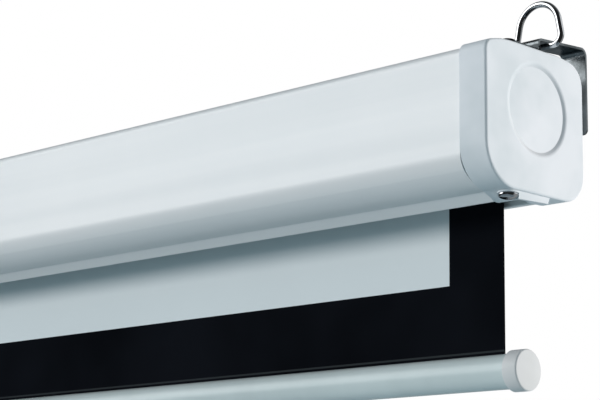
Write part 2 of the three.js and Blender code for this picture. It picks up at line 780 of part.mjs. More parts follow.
// Sawtooth wheel; each steep face waits just past the tip of a dropped pawl
function ratchetWheel() {
  const dropped = pawlLiftedAngle + pawlSwing;
  const tip = new THREE.Vector2(-pawlArm * Math.cos(dropped), pawlPivotRadius - pawlArm * Math.sin(dropped));
  const pitch = (2 * Math.PI) / ratchetTeeth;
  const phase = tip.angle() + Math.asin((pawlTipWidth / 2) / tip.length());
  const outline = [];
  for (let tooth = 0; tooth < ratchetTeeth; tooth += 1) {
    toothShares.forEach((share) => {
      const angle = phase + (tooth + share) * pitch;
      const fall = Math.min(share / toothRootShare, 1);
      const radius = ratchetTipRadius + (ratchetRootRadius - ratchetTipRadius) * fall;
      outline.push(new THREE.Vector2(axis[0] + radius * Math.cos(angle), axis[1] + radius * Math.sin(angle)));
    });
  }
  const low = recessFloorX + seatGap;
  const wheel = prismX(outline, low, low + ratchetThickness);
  return cut(wheel, cylinderX(spindleRadius + runningGap, low - overrun, driveFaceX, ...axis));
}

function spindle() {
  const shoulder = webX - bracketSheet - seatGap;
  const rod = cylinderX(spindleRadius, hubEndX - spindleTail, shoulder, ...axis);
  const blank = cylinderX(spindleRadius, shoulder - overrun, shoulder + tangLength, ...axis);
  const half = tangThickness / 2;
  const flat = block([shoulder - overrun, shoulder + tangLength + overrun],
    [axis[0] - half, axis[0] + half], [axis[1] - spindleRadius, axis[1] + spindleRadius]);
  return join(rod, blank.intersect(flat));
}

const springStartX = insertEndX - capWall - seatGap - springWireRadius;
const springEndX = springStartX - springCurls * springPitch;
const hubEndX = springEndX - springWireRadius - seatGap - hubLength;

// Torsion spring: one unbroken helix round the spindle
function torsionSpring() {
  const positions = [];
  const index = [];
  const rings = springCurls * springSteps;
  for (let i = 0; i <= rings; i += 1) {
    const turn = (i / springSteps) * 2 * Math.PI;
    const x = springStartX - (i / springSteps) * springPitch;
    for (let k = 0; k < springSides; k += 1) {
      const angle = (k / springSides) * 2 * Math.PI;
      const radius = springRadius + springWireRadius * Math.cos(angle);
      positions.push(x + springWireRadius * Math.sin(angle),
        axis[0] + radius * Math.cos(turn), axis[1] + radius * Math.sin(turn));
    }
  }
  for (let i = 0; i < rings; i += 1) {
    for (let k = 0; k < springSides; k += 1) {
      const a = i * springSides + k;
      const b = i * springSides + ((k + 1) % springSides);
      index.push(a, b, a + springSides, b, b + springSides, a + springSides);
    }
  }
  const last = rings * springSides;
  for (let k = 1; k + 1 < springSides; k += 1) {
    index.push(0, k + 1, k, last, last + k, last + k + 1);
  }
  const geometry = new THREE.BufferGeometry();
  geometry.setAttribute('position', new THREE.Float32BufferAttribute(positions, 3));
  geometry.setIndex(index);
  return facingOut(geometry);
}

function springHub() {
  const outer = tubeBore - seatGap;
  const face = hubEndX + hubLength;
  const step = hubEndX + hubLength / 2;
  const bore = spindleRadius + runningGap;
  const collar = springRadius + springWireRadius;
  return turnedX([[bore, hubEndX], [outer, hubEndX], [outer, step], [collar, step], [collar, face],
    [bore, face], [bore, hubEndX]], ...axis);
}

function idlePlug() {
  const insert = tubeBore - clipGap;
  const bore = spindleRadius + runningGap;
  return turnedX([[bore, -tubeHalf - idleCollarLength], [tubeRadius, -tubeHalf - idleCollarLength],
    [tubeRadius, -tubeHalf - seatGap], [insert, -tubeHalf - seatGap], [insert, -insertEndX],
    [bore, -insertEndX], [bore, -tubeHalf - idleCollarLength]], ...axis);
}

function idlePin() {
  return cylinderX(spindleRadius, -webX - bracketSheet, -insertEndX - seatGap, ...axis);
}

function idleBush() {
  const bore = spindleRadius + runningGap;
  const flangeEnd = -webX + bracketSheet + seatGap + bushFlangeThickness;
  return turnedX([[bore, -webX - seatGap], [bushRadius, -webX - seatGap],
    [bushRadius, -webX + bracketSheet + seatGap], [bushFlangeRadius, -webX + bracketSheet + seatGap],
    [bushFlangeRadius, flangeEnd], [bore, flangeEnd], [bore, -webX - seatGap]], ...axis);
}

// Hanging fabric, weight bar and what is on it
const barAxis = [fabricDepth, -barDrop];
const hemRodV = -barDrop + barRadius - barWall - hemRodRadius - seatGap;

function hangingFabric() {
  const half = fabricThickness / 2;
  const hemTop = hemRodV + hemRodRadius + seatGap;
  return prismX(rectangle(fabricDepth - half, fabricDepth + half, hemTop, -rollerDrop),
    -fabricHalf, fabricHalf);
}

const barHalf = capFaceX - barCapToCapFace - barCapFloor - seatGap;

function weightBar() {
  const tube = sleeveX(barRadius, barRadius - barWall, -barHalf, barHalf, ...barAxis);
  const slot = block([-barHalf - overrun, barHalf + overrun],
    [fabricDepth - barSlot / 2, fabricDepth + barSlot / 2], [-barDrop, -barDrop + barRadius + overrun]);
  return cut(tube, slot);
}

function hemRod() {
  const half = barHalf - barCapSpigot - seatGap;
  return cylinderX(hemRodRadius, -half, half, fabricDepth, hemRodV, wireSides * 2);
}

function barCap() {
  const face = capFaceX - barCapToCapFace;
  const skirtEnd = face - barCapLength;
  const floor = face - barCapFloor;
  const bore = barRadius + clipGap;
  const spigot = barRadius - barWall - clipGap;
  const rim = [0, 1 / 2, 1].map((share) => {
    const angle = (share * Math.PI) / 2;
    return [barCapRadius - barCapFillet * (1 - Math.cos(angle)), face - barCapFillet * (1 - Math.sin(angle))];
  });
  return turnedX([[0, floor - barCapSpigot], [spigot, floor - barCapSpigot], [spigot, floor], [bore, floor],
    [bore, skirtEnd], [barCapRadius, skirtEnd], ...rim, [0, face]], ...barAxis);
}

function handleClip() {
  const inner = barRadius + clipGap;
  const band = [];
  const steps = roundSegments;
  const from = Math.PI / 2 + clipOpeningAngle / 2;
  const sweep = 2 * Math.PI - clipOpeningAngle;
  const at = (radius, k) => {
    const angle = from + (sweep * k) / steps;
    return new THREE.Vector2(fabricDepth + radius * Math.cos(angle), -barDrop + radius * Math.sin(angle));
  };
  for (let k = 0; k <= steps; k += 1) band.push(at(clipRadius, k));
  for (let k = steps; k >= 0; k -= 1) band.push(at(inner, k));
  const saddle = prismX(band, -clipWidth / 2, clipWidth / 2);
  const barrel = cylinderX(barrelRadius, -clipWidth / 2, clipWidth / 2, fabricDepth, handleAxisV);
  const room = cylinderX(inner, -clipWidth, clipWidth, ...barAxis);
  const bore = cylinderX(handleWireRadius + seatGap, -clipWidth, clipWidth, fabricDepth, handleAxisV);
  return cut(join(saddle, cut(barrel, room)), bore);
}

function pullHandle() {
  const handle = wireD({ halfWidth: handleHalfWidth, corner: handleCornerRadius, top: handleBottomRadius,
    height: handleHeight, wire: handleWireRadius, butt: handleButt });
  return handle.rotateX(Math.PI).translate(0, fabricDepth, handleAxisV);
}

// Finishes
const finish = (color, roughness, metalness = 0) => ({ color, roughness, metalness });
const finishes = {
  paintedCase: finish(0xe2e5e8, 0.42),
  mouldedWhite: finish(0xdfe3e7, 0.5),
  chrome: finish(0xc9cdd0, 0.14, 1),
  darkScrew: finish(0x202426, 0.35, 1),
  zincSteel: finish(0xb4b8ba, 0.4, 1),
  springSteel: finish(0x6f7376, 0.4, 1),
  brightAluminium: finish(0xc4c8ca, 0.35, 1),
  nylon: finish(0xd8d5cc, 0.55),
  mattWhite: finish(0xe6eaec, 0.95),
  barPaint: finish(0xc3cccc, 0.38),
  barCapPlastic: finish(0xd6d6d2, 0.55),
};

const screen = new THREE.Group();
screen.position.set(0, -capDepth - wallGap, wallHoleDrop);

function place(name, finishName, piece) {
  const geometry = piece.isBufferGeometry ? piece : toGeometry(piece);
  const mesh = new THREE.Mesh(geometry, new THREE.MeshStandardMaterial(finishes[finishName]));
  mesh.name = name;
  screen.add(mesh);
  return geometry;
}

function placePair(name, finishName, piece) {
  const right = place(`${name}_right`, finishName, piece);
  place(`${name}_left`, finishName, mirrored(right));
}

place('case_shell', 'paintedCase', caseShell());
placePair('end_cap', 'mouldedWhite', endCap());
placePair('skirt_screw', 'chrome', skirtScrew());
placePair('strap_screw', 'darkScrew', strapScrew());
placePair('hanger_bracket', 'chrome', hangerBracket());
placePair('hanging_ring', 'chrome', hangingRing());

const bushHole = cylinderX(bushRadius + runningGap, webX - bracketFlange, webX + overrun, ...axis);
place('roller_bracket_right', 'zincSteel', rollerBracket(tangHole()));
place('roller_bracket_left', 'zincSteel', mirrored(toGeometry(rollerBracket(bushHole))));

place('spindle', 'springSteel', spindle());
place('torsion_spring', 'springSteel', torsionSpring());
place('spring_hub', 'nylon', springHub());
place('ratchet_wheel', 'zincSteel', ratchetWheel());
place('drive_plug', 'nylon', drivePlug());
place('pawl_upper', 'zincSteel', pawl(1));
place('pawl_lower', 'zincSteel', pawl(-1));
place('pawl_pin_upper', 'springSteel', pawlPin(pawlPlaces[0]));
place('pawl_pin_lower', 'springSteel', pawlPin(pawlPlaces[1]));
place('roller_tube', 'brightAluminium', rollerTube());
place('fabric_roll', 'mattWhite', woundFabric());
place('idle_plug', 'nylon', idlePlug());
place('idle_pin', 'springSteel', idlePin());
place('idle_bush', 'nylon', idleBush());

place('screen_fabric', 'mattWhite', hangingFabric());
place('weight_bar', 'barPaint', weightBar());
place('hem_rod', 'brightAluminium', hemRod());
placePair('bar_cap', 'barCapPlastic', barCap());
place('handle_clip', 'zincSteel', handleClip());
place('pull_handle', 'chrome', pullHandle());

export default screen;
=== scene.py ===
import math

import bmesh
import bpy
from mathutils import Matrix, Vector


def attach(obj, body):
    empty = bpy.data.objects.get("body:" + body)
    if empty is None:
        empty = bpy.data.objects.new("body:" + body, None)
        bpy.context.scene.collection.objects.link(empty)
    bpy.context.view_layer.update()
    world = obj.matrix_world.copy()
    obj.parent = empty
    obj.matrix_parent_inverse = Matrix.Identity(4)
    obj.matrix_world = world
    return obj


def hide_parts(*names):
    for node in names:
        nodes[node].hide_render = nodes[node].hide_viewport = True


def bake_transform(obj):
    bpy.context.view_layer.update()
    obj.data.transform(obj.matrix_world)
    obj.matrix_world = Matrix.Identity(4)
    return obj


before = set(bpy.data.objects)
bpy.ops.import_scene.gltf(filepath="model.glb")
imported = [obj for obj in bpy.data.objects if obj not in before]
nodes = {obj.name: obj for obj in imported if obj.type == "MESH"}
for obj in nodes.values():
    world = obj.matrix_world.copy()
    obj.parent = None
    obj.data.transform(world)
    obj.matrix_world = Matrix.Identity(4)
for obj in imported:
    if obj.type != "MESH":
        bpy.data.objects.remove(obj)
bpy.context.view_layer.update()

print("frame loaded:", len(nodes), "nodes")

# Sizes are in millimetres: x from the middle of the case, y back from the front of an end cap,
# z up from the top of an end cap. place() turns them into metres in the frame. Finishes, lamps and
# the camera are in metres.
millimetre = 0.001
frameShift = {"wallDepth": 86.65, "holeDrop": 25.0}


def place(x, y, z):
    return Vector((x, y - frameShift["wallDepth"], z + frameShift["holeDrop"])) * millimetre


# sRGB 0-255 to linear
def linear(red, green, blue):
    parts = [c / 255 for c in (red, green, blue)]
    return [c / 12.92 if c <= 0.04045 else ((c + 0.055) / 1.055) ** 2.4 for c in parts] + [1.0]


# camera, its angles in radians and its lens in millimetres
cameraView = {"lens": 111.6275, "filmWidth": 36, "clip": (0.01, 50), "yaw": 0.7766932,
              "pitch": 0.1995242, "roll": -0.0122365, "spot": (1.4170933, -0.7721765, -0.2367859)}


def aimCamera(view):
    cosYaw, sinYaw = math.cos(view["yaw"]), math.sin(view["yaw"])
    cosPitch, sinPitch = math.cos(view["pitch"]), math.sin(view["pitch"])
    forward = Vector((-sinYaw * cosPitch, cosYaw * cosPitch, sinPitch))
    level = Vector((cosYaw, sinYaw, 0))
    down = forward.cross(level)
    right = level * math.cos(view["roll"]) + down * math.sin(view["roll"])
    below = down * math.cos(view["roll"]) - level * math.sin(view["roll"])
    turn = Matrix((right, -below, -forward)).transposed().to_4x4()
    data = bpy.data.cameras.new("photoCamera")
    data.lens = view["lens"]
    data.sensor_width = view["filmWidth"]
    data.clip_start, data.clip_end = view["clip"]
    camera = bpy.data.objects.new("photoCamera", data)
    camera.matrix_world = Matrix.Translation(view["spot"]) @ turn
    bpy.context.scene.collection.objects.link(camera)
    bpy.context.scene.camera = camera


aimCamera(cameraView)
print("camera placed")


# shader building
class Wire:
    def __init__(self, finish, socket):
        self.finish = finish
        self.socket = socket

    def sum(self, operation, first, second):
        return self.finish.node("ShaderNodeMath", {"operation": operation}, {0: first, 1: second})

    def __add__(self, other):
        return self.sum("ADD", self, other)

    def __radd__(self, other):
        return self.sum("ADD", other, self)

    def __sub__(self, other):
        return self.sum("SUBTRACT", self, other)

    def __rsub__(self, other):
        return self.sum("SUBTRACT", other, self)

    def __mul__(self, other):
        return self.sum("MULTIPLY", self, other)

    def __rmul__(self, other):
        return self.sum("MULTIPLY", other, self)

    def __pow__(self, other):
        return self.sum("POWER", self, other)

    def __gt__(self, other):
        return self.sum("GREATER_THAN", self, other)

    def __lt__(self, other):
        return self.sum("LESS_THAN", self, other)


class Finish:
    def __init__(self, name, **constants):
        self.material = bpy.data.materials.new(name)
        self.material.use_nodes = True
        self.tree = self.material.node_tree
        self.shader = self.tree.nodes["Principled BSDF"]
        for key, value in constants.items():
            self.shader.inputs[key.replace("_", " ")].default_value = value

    def node(self, kind, settings=None, sockets=None, out=0):
        made = self.tree.nodes.new(kind)
        for key, value in (settings or {}).items():
            setattr(made, key, value)
        for key, value in (sockets or {}).items():
            if isinstance(value, Wire):
                self.tree.links.new(value.socket, made.inputs[key])
            else:
                made.inputs[key].default_value = value
        return Wire(self, made.outputs[out])

    def feed(self, key, wire):
        self.tree.links.new(wire.socket, self.shader.inputs[key])

    def where(self):
        return self.node("ShaderNodeTexCoord", out="Object")

    # settings: scale, detail and roughness
    def noise(self, settings, vector=None):
        scale, detail, roughness = settings
        return self.node("ShaderNodeTexNoise", {}, {"Vector": vector or self.where(), "Scale": scale,
                                                    "Detail": detail, "Roughness": roughness})

    def blend(self, share, first, second):
        return self.node("ShaderNodeMix", {"data_type": "RGBA"}, {0: share, 6: first, 7: second}, out=2)

    def part(self, vector, axis):
        return self.node("ShaderNodeSeparateXYZ", {}, {0: vector}, out="XYZ".index(axis))

    def stretched(self, scale):
        return self.node("ShaderNodeMapping", {}, {"Vector": self.where(), "Scale": scale})

    def spread(self, wire, low, high):
        return self.node("ShaderNodeMapRange", {}, {"Value": wire, "From Min": low, "From Max": high})

    def bump(self, height, depth, strength=1.0):
        normal = self.node("ShaderNodeBump", {}, {"Height": height, "Distance": depth,
                                                  "Strength": strength})
        self.feed("Normal", normal)


# the case's white coat: a random tint, and faint streaks along it that are a painted reflection sheen in its
# colour and also vary its roughness
coatLook = {"colour": (235, 235, 235), "dull": (226, 228, 229), "shine": 1.0, "tintAndPaintedSheen": (0.35, 0.75),
            "drift": (9, 3, 0.55), "streak": (1.0, 3, 0.5), "streakStretch": (1.5, 160, 160),
            "streakShare": 0.4, "roughness": 0.31, "streakRoughness": 0.14, "grain": (1500, 2, 0.6),
            "ripple": 0.000012, "rippleShare": 0.6}


def makeCoat(look):
    finish = Finish("caseCoat", Specular_IOR_Level=look["shine"])
    drift = finish.noise(look["drift"])
    # long streaks along the case: a painted reflection sheen in the colour, and real changes in the
    # roughness
    streak = finish.noise(look["streak"], finish.stretched(look["streakStretch"]))
    share = look["streakShare"]
    # colour runs to dull by the random drift and by the painted reflection streaks
    tintAndPaintedSheen = finish.spread(drift * (1 - share) + streak * share, *look["tintAndPaintedSheen"])
    finish.feed("Base Color", finish.blend(tintAndPaintedSheen, linear(*look["colour"]), linear(*look["dull"])))
    finish.feed("Roughness", streak * look["streakRoughness"] + look["roughness"])
    finish.bump(finish.noise(look["grain"]), look["ripple"], look["rippleShare"])
    return finish.material


plasticLook = {"colour": (231, 233, 236), "shade": (206, 213, 216), "shine": 0.3, "drift": (22, 3, 0.6),
               "shading": (0.35, 0.8), "roughness": 0.36, "driftRoughness": 0.12,
               "grain": (2600, 2, 0.65), "ripple": 0.00002, "rippleShare": 0.5}


def makePlastic(name, look, rim=None):
    finish = Finish(name, Specular_IOR_Level=look["shine"])
    drift = finish.noise(look["drift"])
    finish.feed("Base Color", finish.blend(finish.spread(drift, *look["shading"]),
                                           linear(*look["colour"]), linear(*look["shade"])))
    finish.feed("Roughness", drift * look["driftRoughness"] + look["roughness"])
    grain = finish.noise(look["grain"])
    if rim:
        y, z = (finish.part(finish.where(), axis) - middle for axis, middle in zip("YZ", rim["centre"]))
        away = 1 - finish.spread((y * y + z * z) ** 0.5, rim["inner"], rim["outer"])
        finish.bump(grain * (look["ripple"] / rim["depth"]) - away * away, rim["depth"])
    else:
        finish.bump(grain, look["ripple"], look["rippleShare"])
    return finish.material


# rounded rim of the sunk disc in each end cap: its middle in y and z, and two radii
discRim = {"centre": (-0.04565, -0.00675), "inner": 0.0218, "outer": 0.0248, "depth": 0.0011}
metalLooks = {
    "strapPlate": {"colour": (122, 128, 131), "tarnish": (78, 83, 84), "roughness": 0.27,
                   "scratch": 0.000004},
    "brightPlate": {"colour": (214, 217, 220), "tarnish": (192, 196, 200), "roughness": 0.05,
                    "scratch": 0.000002},
    "darkSteel": {"colour": (62, 64, 68), "tarnish": (34, 36, 40), "roughness": 0.28,
                  "scratch": 0.00001},
    "zincSheet": {"colour": (186, 190, 194), "tarnish": (150, 154, 158), "roughness": 0.36,
                  "scratch": 0.00001},
    "springWire": {"colour": (128, 130, 134), "tarnish": (86, 84, 80), "roughness": 0.34,
                   "scratch": 0.00001},
    "drawnTube": {"colour": (200, 203, 206), "tarnish": (172, 175, 179), "roughness": 0.3,
                  "scratch": 0.000008},
}
metalWear = {"edgeTint": (0.55, 0.6, 0.63, 1), "cloud": (70, 4, 0.6), "speck": (900, 3, 0.7),
             "speckShare": 0.25, "worn": (0.4, 0.7), "roughening": 0.08, "scratches": (1800, 2, 0.6),
             "scratchStretch": (1, 0.3, 0.3), "scratchShare": 0.5}


def makeMetal(name, look, wear):
    finish = Finish(name, Metallic=1.0, Specular_Tint=wear["edgeTint"])
    cloud = finish.noise(wear["cloud"])
    speck = finish.noise(wear["speck"])
    share = wear["speckShare"]
    worn = finish.spread(cloud * (1 - share) + speck * share, *wear["worn"])
    finish.feed("Base Color", finish.blend(worn, linear(*look["colour"]), linear(*look["tarnish"])))
    finish.feed("Roughness", worn * wear["roughening"] + look["roughness"])
    scratches = finish.noise(wear["scratches"], finish.stretched(wear["scratchStretch"]))
    finish.bump(scratches, look["scratch"], wear["scratchShare"])
    return finish.material


clothLooks = {
    "matteWhite": {"colour": (224, 231, 233), "shade": (220, 227, 229), "roughness": 0.86},
    "blackEdge": {"colour": (20, 22, 27), "shade": (7, 8, 10), "roughness": 0.91},
    "blackBack": {"colour": (20, 20, 22), "shade": (12, 12, 14), "roughness": 0.76},
}
weaveLook = {"shine": 0.0, "thread": 0.00055, "depth": 0.00003, "wobble": 0.4, "bumpShare": 0.35,
             "cloud": (7, 3, 0.6), "clouding": (0.35, 0.75), "cloudRoughness": 0.08,
             "hemBand": (0.0026, 0.0036), "hemColour": (88, 94, 96), "hemShare": 0.3}


# length is the cloth's whole length, where its hem ends: a faint line lies just short of it
def makeCloth(name, look, weave, length=None):
    finish = Finish(name, Specular_IOR_Level=weave["shine"])
    along = finish.node("ShaderNodeUVMap", {"uv_map": "cloth"})
    waveScale = 1 / (20 * weave["thread"])  # a wave texture turns 20 radians per unit
    warp, weft = (finish.node("ShaderNodeTexWave", {"bands_direction": axis},
                              {"Vector": along, "Scale": waveScale, "Distortion": weave["wobble"],
                               "Detail": 1.0}) for axis in "XY")
    cloud = finish.noise(weave["cloud"], along)
    base = finish.blend(finish.spread(cloud, *weave["clouding"]), linear(*look["colour"]),
                        linear(*look["shade"]))
    if length:
        down = finish.part(along, "Y")
        near, far = weave["hemBand"]
        band = (down > length - far) * (down < length - near)
        base = finish.blend(band * weave["hemShare"], base, linear(*weave["hemColour"]))
    finish.feed("Base Color", base)
    finish.feed("Roughness", cloud * weave["cloudRoughness"] + look["roughness"])
    finish.bump(warp * 0.5 + weft * 0.5, weave["depth"], weave["bumpShare"])
    return finish.material


plasticChanges = {
    "nylonPlastic": {"colour": (222, 219, 208), "shade": (204, 200, 188)},
    "barCapPlastic": {"colour": (226, 226, 226), "shade": (208, 208, 206)},
    "barCoat": {"colour": (208, 219, 219), "shade": (196, 207, 207), "roughness": 0.18, "ripple": 0.00001},
}
caseCoat = makeCoat(coatLook)
capPlastic = makePlastic("capPlastic", plasticLook, discRim)
plastics = {name: makePlastic(name, {**plasticLook, **look}) for name, look in plasticChanges.items()}
metals = {name: makeMetal(name, look, metalWear) for name, look in metalLooks.items()}
print("finishes made")


# mesh helpers
def newPiece(name, mesh, *finishes):
    piece = bpy.data.objects.new(name, mesh)
    bpy.context.scene.collection.objects.link(piece)
    for finish in finishes:
        mesh.materials.append(finish)
    return piece


def softEdges(mesh, degrees):
    for polygon in mesh.polygons:
        polygon.use_smooth = True
    mesh.set_sharp_from_angle(angle=math.radians(degrees))


def addModifier(piece, kind, **settings):
    modifier = piece.modifiers.new(kind.lower(), kind)
    for key, value in settings.items():
        setattr(modifier, key, value)


# every modifier applied, a plain mesh left
def settle(piece):
    graph = bpy.context.evaluated_depsgraph_get()
    baked = bpy.data.meshes.new_from_object(piece.evaluated_get(graph))
    piece.modifiers.clear()
    old = piece.data
    piece.data = baked
    bpy.data.meshes.remove(old)
    baked.name = piece.name


# distances in metres, angles in degrees
mergeSizes = {"join": 2e-6, "sliver": 1e-6, "flatWithin": 0.4, "bevelFrom": 40}


# a joined-up copy of a CAD node, shaded softly over its curves, its edges rounded by edge (mm)
def mergedCopy(name, node, finish, degrees, edge=0.0):
    form = bmesh.new()
    form.from_mesh(nodes[node].data)
    bmesh.ops.remove_doubles(form, verts=form.verts, dist=mergeSizes["join"])
    bmesh.ops.dissolve_degenerate(form, edges=form.edges, dist=mergeSizes["sliver"])
    bmesh.ops.dissolve_limit(form, angle_limit=math.radians(mergeSizes["flatWithin"]), verts=form.verts,
                             edges=form.edges)
    mesh = bpy.data.meshes.new(name)
    form.to_mesh(mesh)
    form.free()
    mesh.materials.clear()
    piece = newPiece(name, mesh, finish)
    softEdges(mesh, degrees)
    if edge:
        addModifier(piece, "BEVEL", width=edge * millimetre, segments=2, limit_method="ANGLE",
                    angle_limit=math.radians(mergeSizes["bevelFrom"]), harden_normals=True)
    addModifier(piece, "WEIGHTED_NORMAL", keep_sharp=True)
    settle(piece)
    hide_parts(node)
    return piece


def filletOf(corner):
    return corner[2] if len(corner) > 2 else 0


# an open path's corners (u, v, fillet radius) to points, an arc point every step degrees
def roundedPath(corners, step):
    spots = [Vector(corner[:2]) for corner in corners]
    last = len(spots) - 1
    bends = {}
    reaches = [0.0] * len(spots)
    for i in range(1, last):
        before = (spots[i - 1] - spots[i]).normalized()
        after = (spots[i + 1] - spots[i]).normalized()
        half = math.acos(max(-1, min(1, before.dot(after)))) / 2
        bends[i] = before, after, half
        reaches[i] = filletOf(corners[i]) / math.tan(half)

    # the share of the two fillets on the run from i to i + 1 that it has room for
    def room(i):
        wanted = reaches[i] + reaches[i + 1]
        return min(1, (spots[i + 1] - spots[i]).length * 0.98 / wanted) if wanted else 1

    points = [spots[0]]
    for i, (before, after, half) in bends.items():
        if not reaches[i]:
            points.append(spots[i])
            continue
        reach = reaches[i] * min(room(i), room(i - 1))
        radius = reach * math.tan(half)
        centre = spots[i] + (before + after).normalized() * (radius / math.sin(half))
        start = spots[i] + before * reach - centre
        turn = math.pi - 2 * half
        side = 1 if before.cross(after) > 0 else -1
        steps = max(3, math.ceil(turn / math.radians(step)))
        for k in range(steps + 1):
            points.append(centre + Matrix.Rotation(-side * turn * k / steps, 2) @ start)
    return points + [spots[last]]


# every edge of an open path moved to its right
def offsetCorners(corners, distance):
    edges = []
    for corner, following in zip(corners, corners[1:]):
        start, end = Vector(corner[:2]), Vector(following[:2])
        along = (end - start).normalized()
        shift = Vector((along.y, -along.x)) * distance
        edges.append((start + shift, along, end + shift))
    moved = [(*edges[0][0], 0)]
    for corner, (inFrom, inAlong, _), (outFrom, outAlong, _) in zip(corners[1:], edges, edges[1:]):
        turn = inAlong.cross(outAlong)
        reach = (outFrom - inFrom).cross(outAlong) / turn
        radius = filletOf(corner)
        grown = max(radius + distance * math.copysign(1, turn), 0) if radius else 0
        moved.append((*(inFrom + inAlong * reach), grown))
    return moved + [(*edges[-1][2], 0)]


# lathe form: (radius, height) in mm from pole to pole, turned about centre (metres) along aim
def turnedMesh(name, profile, centre, aim, segments):
    form = bmesh.new()
    angles = [2 * math.pi * k / segments for k in range(segments)]
    rings = [[form.verts.new((0, 0, profile[0][1]))]]
    for radius, height in profile[1:-1]:
        rings.append([form.verts.new((radius * math.cos(a), radius * math.sin(a), height)) for a in angles])
    rings.append([form.verts.new((0, 0, profile[-1][1]))])
    for low, high in zip(rings, rings[1:]):
        for k in range(segments):
            following = (k + 1) % segments
            if len(low) == 1:
                form.faces.new((low[0], high[following], high[k]))
            elif len(high) == 1:
                form.faces.new((low[k], low[following], high[0]))
            else:
                form.faces.new((low[k], low[following], high[following], high[k]))
    bmesh.ops.recalc_face_normals(form, faces=form.faces)
    turn = Vector(aim).to_track_quat("Z", "Y").to_matrix().to_4x4()
    form.transform(Matrix.Translation(centre) @ turn @ Matrix.Scale(millimetre, 4))
    mesh = bpy.data.meshes.new(name)
    form.to_mesh(mesh)
    form.free()
    return mesh


# geometry node trees
def newTree(name, inputs):
    tree = bpy.data.node_groups.new(name, "GeometryNodeTree")
    tree.is_modifier = True
    tree.interface.new_socket("Geometry", in_out="INPUT", socket_type="NodeSocketGeometry")
    for label, kind in inputs:
        tree.interface.new_socket(label, in_out="INPUT", socket_type="NodeSocket" + kind)
    tree.interface.new_socket("Geometry", in_out="OUTPUT", socket_type="NodeSocketGeometry")
    return tree, tree.nodes.new("NodeGroupInput"), tree.nodes.new("NodeGroupOutput")


def addNode(tree, kind, settings=None, sockets=None):
    made = tree.nodes.new(kind)
    for key, value in (settings or {}).items():
        setattr(made, key, value)
    for key, value in (sockets or {}).items():
        if isinstance(value, bpy.types.NodeSocket):
            tree.links.new(value, made.inputs[key])
        else:
            made.inputs[key].default_value = value
    return made


def finishTree(tree, geometry, material, last):
    real = addNode(tree, "GeometryNodeRealizeInstances", {}, {0: geometry})
    coloured = addNode(tree, "GeometryNodeSetMaterial", {}, {"Geometry": real.outputs[0],
                                                             "Material": material})
    tree.links.new(coloured.outputs[0], last.inputs[0])


# the tree put on a mesh with its inputs set, then left as a plain mesh
def runTree(name, tree, mesh, values):
    piece = newPiece(name, mesh)
    modifier = piece.modifiers.new(tree.name, "NODES")
    modifier.node_group = tree
    for item in tree.interface.items_tree:
        if item.in_out == "INPUT" and item.name in values:
            modifier[item.identifier] = values[item.name]
    settle(piece)
    slots = piece.data.materials
    for index in reversed(range(len(slots))):
        if slots[index] is None:
            slots.pop(index=index)
    return piece


# a flat profile run along X, both ends closed
def makeExtrusionTree():
    tree, first, last = newTree("runAlongX", [("Length", "Float"), ("Finish", "Material")])
    reach = addNode(tree, "ShaderNodeCombineXYZ", {}, {"X": first.outputs["Length"]})
    pushed = addNode(tree, "GeometryNodeExtrudeMesh", {"mode": "FACES"},
                     {"Mesh": first.outputs[0], "Offset": reach.outputs[0], "Offset Scale": 1.0,
                      "Individual": False})
    turned = addNode(tree, "GeometryNodeFlipFaces", {}, {0: first.outputs[0]})
    joined = addNode(tree, "GeometryNodeJoinGeometry", {}, {})
    tree.links.new(pushed.outputs["Mesh"], joined.inputs[0])
    tree.links.new(turned.outputs[0], joined.inputs[0])
    whole = addNode(tree, "GeometryNodeMergeByDistance", {}, {"Geometry": joined.outputs[0],
                                                              "Distance": mergeSizes["sliver"]})
    finishTree(tree, whole.outputs[0], first.outputs["Finish"], last)
    return tree


# round wire along a path, its cut ends closed
def makeWireTree():
    tree, first, last = newTree("wireAlongPath", [("Wire Radius", "Float"), ("Sides", "Int"),
                                                  ("Finish", "Material")])
    path = addNode(tree, "GeometryNodeMeshToCurve", {}, {"Mesh": first.outputs[0]})
    ring = addNode(tree, "GeometryNodeCurvePrimitiveCircle", {}, {"Radius": first.outputs["Wire Radius"],
                                                                  "Resolution": first.outputs["Sides"]})
    swept = addNode(tree, "GeometryNodeCurveToMesh", {}, {"Curve": path.outputs[0],
                                                          "Profile Curve": ring.outputs[0],
                                                          "Fill Caps": True})
    smooth = addNode(tree, "GeometryNodeSetShadeSmooth", {}, {0: swept.outputs[0]})
    finishTree(tree, smooth.outputs[0], first.outputs["Finish"], last)
    return tree


# one screw on every point, turned to the point's aim and twist
def makeScrewTree():
    tree, first, last = newTree("screwsOnPoints", [("Screw", "Object"), ("Finish", "Material")])
    source = addNode(tree, "GeometryNodeObjectInfo", {}, {"Object": first.outputs["Screw"]})
    aim = addNode(tree, "GeometryNodeInputNamedAttribute", {"data_type": "FLOAT_VECTOR"}, {"Name": "aim"})
    twist = addNode(tree, "GeometryNodeInputNamedAttribute", {"data_type": "FLOAT"}, {"Name": "twist"})
    lean = addNode(tree, "FunctionNodeAlignRotationToVector", {"axis": "Z"}, {"Vector": aim.outputs[0]})
    spin = addNode(tree, "FunctionNodeAxisAngleToRotation", {}, {"Axis": (0.0, 0.0, 1.0),
                                                                 "Angle": twist.outputs[0]})
    both = addNode(tree, "FunctionNodeRotateRotation", {"rotation_space": "LOCAL"},
                   {"Rotation": lean.outputs[0], "Rotate By": spin.outputs[0]})
    points = addNode(tree, "GeometryNodeMeshToPoints", {}, {"Mesh": first.outputs[0]})
    screws = addNode(tree, "GeometryNodeInstanceOnPoints", {}, {"Points": points.outputs[0],
                                                                "Instance": source.outputs["Geometry"],
                                                                "Rotation": both.outputs[0]})
    finishTree(tree, screws.outputs[0], first.outputs["Finish"], last)
    return tree


extrusionTree = makeExtrusionTree()
wireTree = makeWireTree()
screwTree = makeScrewTree()


